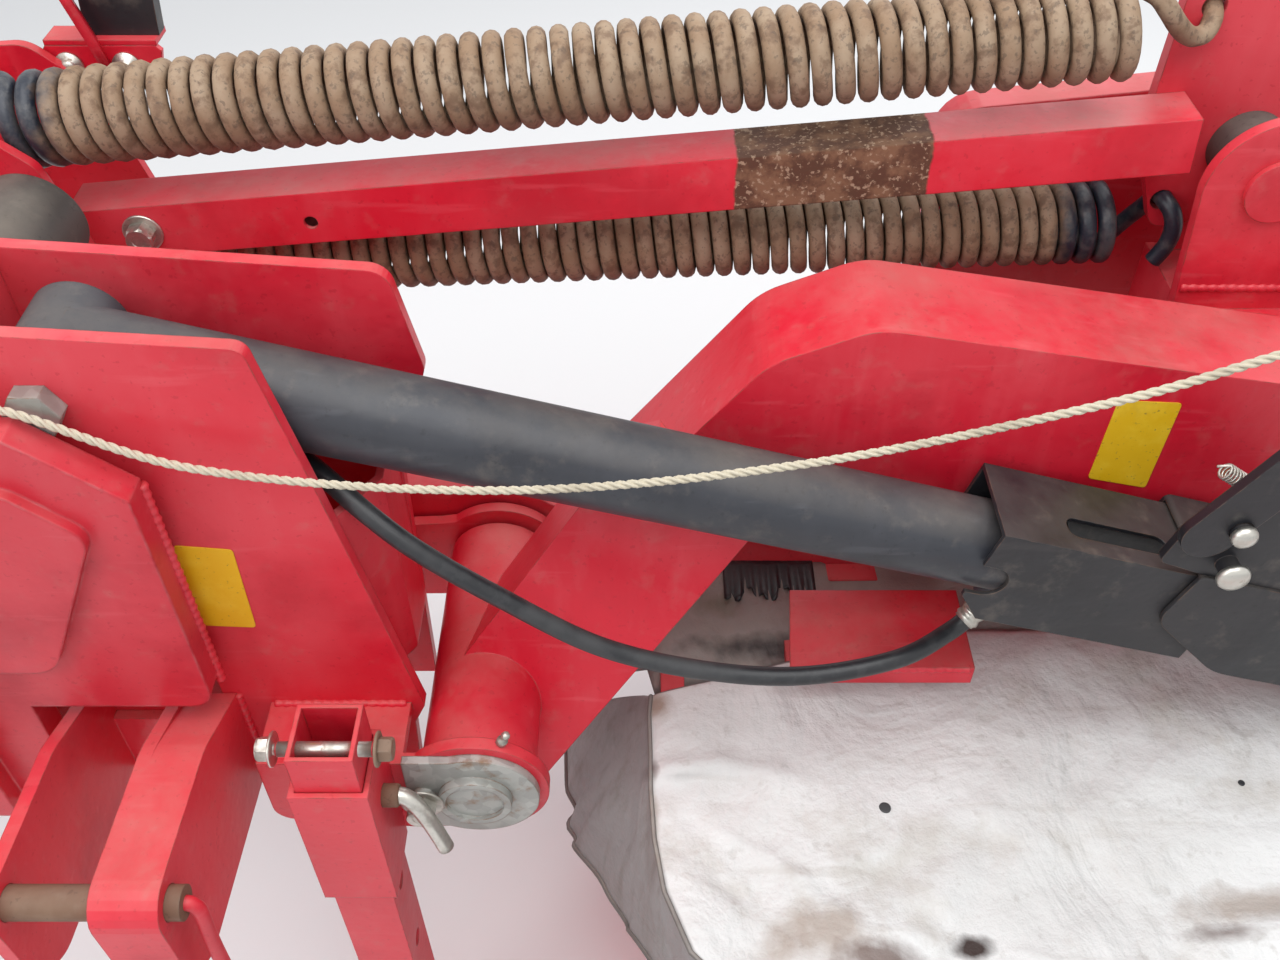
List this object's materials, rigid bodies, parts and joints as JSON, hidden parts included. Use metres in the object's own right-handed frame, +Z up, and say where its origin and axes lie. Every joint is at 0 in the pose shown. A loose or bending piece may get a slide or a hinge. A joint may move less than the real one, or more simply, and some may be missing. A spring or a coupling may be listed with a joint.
{
  "type": "folded disc mower",
  "caption": "Three-point rear disc mower with a spring-relieved swing arm, a lift cylinder that folds it upright, canvas guards and a stand leg.",
  "frame": {"origin": "middle of the lowered machine's box, at the height of the ground", "axes": "+X along the cutterbar, away from the hitch; -Y towards the tractor; +Z up"},
  "size_m": [4.113, 1.1182, 1.267],
  "materials": {
    "red_paint": "weathered gloss",
    "red_plastic": "satin",
    "black_paint": "worn satin",
    "charcoal_paint": "worn satin",
    "dark_steel": "worn",
    "rusty_steel": "rusty",
    "galvanised": "galvanised",
    "bright_steel": "machined",
    "chrome": "polished",
    "spring_steel": "weathered",
    "canvas": "coated, dirty",
    "rubber": "matte",
    "rope": "braided",
    "cast_grey": "rough"
  },
  "bodies": {
    "headstock": {"headstock_frame": "red_paint", "mast": "red_paint", "lower_link_bracket_right": "red_paint", "lower_link_bracket_left": "red_paint", "lower_link_pins": "rusty_steel", "fork_plate_near": "red_paint", "fork_plate_far": "red_paint", "fork_web": "red_paint", "pivot_pin": "dark_steel", "pivot_cap": "galvanised", "gearbox": "cast_grey", "pto_shaft": "bright_steel", "drive_casing": "red_plastic", "rear_cover": "red_plastic", "spring_bracket": "red_paint", "bracket_bush": "dark_steel", "leg_sleeve": "red_paint", "leg_lock_pin": "rusty_steel", "cylinder_base_pin": "galvanised", "pull_rope": "rope", "lift_hose": "rubber"},
    "leg": {"stand_leg": "red_paint"},
    "arm": {"arm_box": "red_paint", "arm_ears": "red_paint", "ear_pin": "dark_steel", "belt_case": "charcoal_paint", "drive_hood": "red_plastic"},
    "cylinder": {"cylinder_barrel": "charcoal_paint", "lock_channel": "black_paint"},
    "rod": {"cylinder_rod": "chrome", "rod_eye_pin": "dark_steel", "rod_housing": "black_paint", "latch_hook": "charcoal_paint", "latch_lever": "black_paint"},
    "strut": {"strut_tube": "red_paint", "lever_plate": "red_paint", "lever_bush": "dark_steel", "spring_upper": "spring_steel", "spring_lower": "spring_steel"},
    "deck": {"cutterbar_case": "red_paint", "skid_shoes": "dark_steel", "inner_shoe": "red_paint", "outer_shoe": "red_paint", "deck_beam": "red_paint", "hinge_cheeks": "red_paint", "hinge_pin": "dark_steel", "deck_gearbox": "cast_grey", "canvas_frame": "red_paint", "canvas_cover": "canvas", "inner_tray": "red_paint"},
    "guard": {"front_guard_frame": "red_paint", "front_guard_canvas": "canvas"},
    "disc_1": {"disc_1": "bright_steel"},
    "disc_2": {"disc_2": "bright_steel"},
    "disc_3": {"disc_3": "bright_steel"},
    "disc_4": {"disc_4": "bright_steel"},
    "disc_5": {"disc_5": "bright_steel"},
    "disc_6": {"disc_6": "bright_steel"}
  },
  "joints": [
    {"name": "arm_lift", "type": "hinge", "parent": "headstock", "child": "arm", "pos_m": [-0.8185, 0.18415, 0.545], "axis": [0, -1, 0], "range_deg": [0, 38]},
    {"name": "deck_fold", "type": "hinge", "parent": "arm", "child": "deck", "pos_m": [0.2815, 0.18415, 0.4], "axis": [0, -1, 0], "range_deg": [0, 52]},
    {"name": "cylinder_swing", "type": "hinge", "parent": "headstock", "child": "cylinder", "pos_m": [-1.0955, 0.07915, 0.945], "axis": [0, -1, 0], "range_deg": [0, 19.57]},
    {"name": "rod_stroke", "type": "slide", "parent": "cylinder", "child": "rod", "axis": [0.9605, 0, -0.2783], "range_m": [-0.2698, 0]},
    {"name": "strut_swing", "type": "hinge", "parent": "arm", "child": "strut", "pos_m": [-0.1365, 0.31915, 0.967], "axis": [0, -1, 0], "range_deg": [-9.43, 0], "deforming": ["spring_upper", "spring_lower"]},
    {"name": "front_guard_hinge", "type": "hinge", "parent": "deck", "child": "guard", "pos_m": [0.6815, -0.29885, 0.4857], "axis": [-1, 0, 0], "range_deg": [0, 95]},
    {"name": "leg_slide", "type": "slide", "parent": "headstock", "child": "leg", "axis": [0, 0, 1], "range_m": [0, 0.3]},
    {"name": "disc_1_spin", "type": "hinge", "parent": "deck", "child": "disc_1", "pos_m": [-0.3185, -0.04085, 0.105], "axis": [0, 0, 1], "continuous": true},
    {"name": "disc_2_spin", "type": "hinge", "parent": "deck", "child": "disc_2", "pos_m": [0.0795, -0.04085, 0.105], "axis": [0, 0, 1], "continuous": true},
    {"name": "disc_3_spin", "type": "hinge", "parent": "deck", "child": "disc_3", "pos_m": [0.4775, -0.04085, 0.105], "axis": [0, 0, 1], "continuous": true},
    {"name": "disc_4_spin", "type": "hinge", "parent": "deck", "child": "disc_4", "pos_m": [0.8755, -0.04085, 0.105], "axis": [0, 0, 1], "continuous": true},
    {"name": "disc_5_spin", "type": "hinge", "parent": "deck", "child": "disc_5", "pos_m": [1.2735, -0.04085, 0.105], "axis": [0, 0, 1], "continuous": true},
    {"name": "disc_6_spin", "type": "hinge", "parent": "deck", "child": "disc_6", "pos_m": [1.6715, -0.04085, 0.105], "axis": [0, 0, 1], "continuous": true}
  ],
  "couplings": [
    {"joint": "deck_fold", "follows": "arm_lift", "ratio": 1.3684},
    {"joint": "cylinder_swing", "follows": "arm_lift", "ratio": 0.51485},
    {"joint": "rod_stroke", "follows": "arm_lift", "m_per_rad": -0.40645},
    {"joint": "strut_swing", "follows": "arm_lift", "ratio": -0.24795},
    {"joint": "disc_2_spin", "follows": "disc_1_spin", "ratio": -1},
    {"joint": "disc_3_spin", "follows": "disc_1_spin", "ratio": 1},
    {"joint": "disc_4_spin", "follows": "disc_1_spin", "ratio": -1},
    {"joint": "disc_5_spin", "follows": "disc_1_spin", "ratio": 1},
    {"joint": "disc_6_spin", "follows": "disc_1_spin", "ratio": -1}
  ]
}
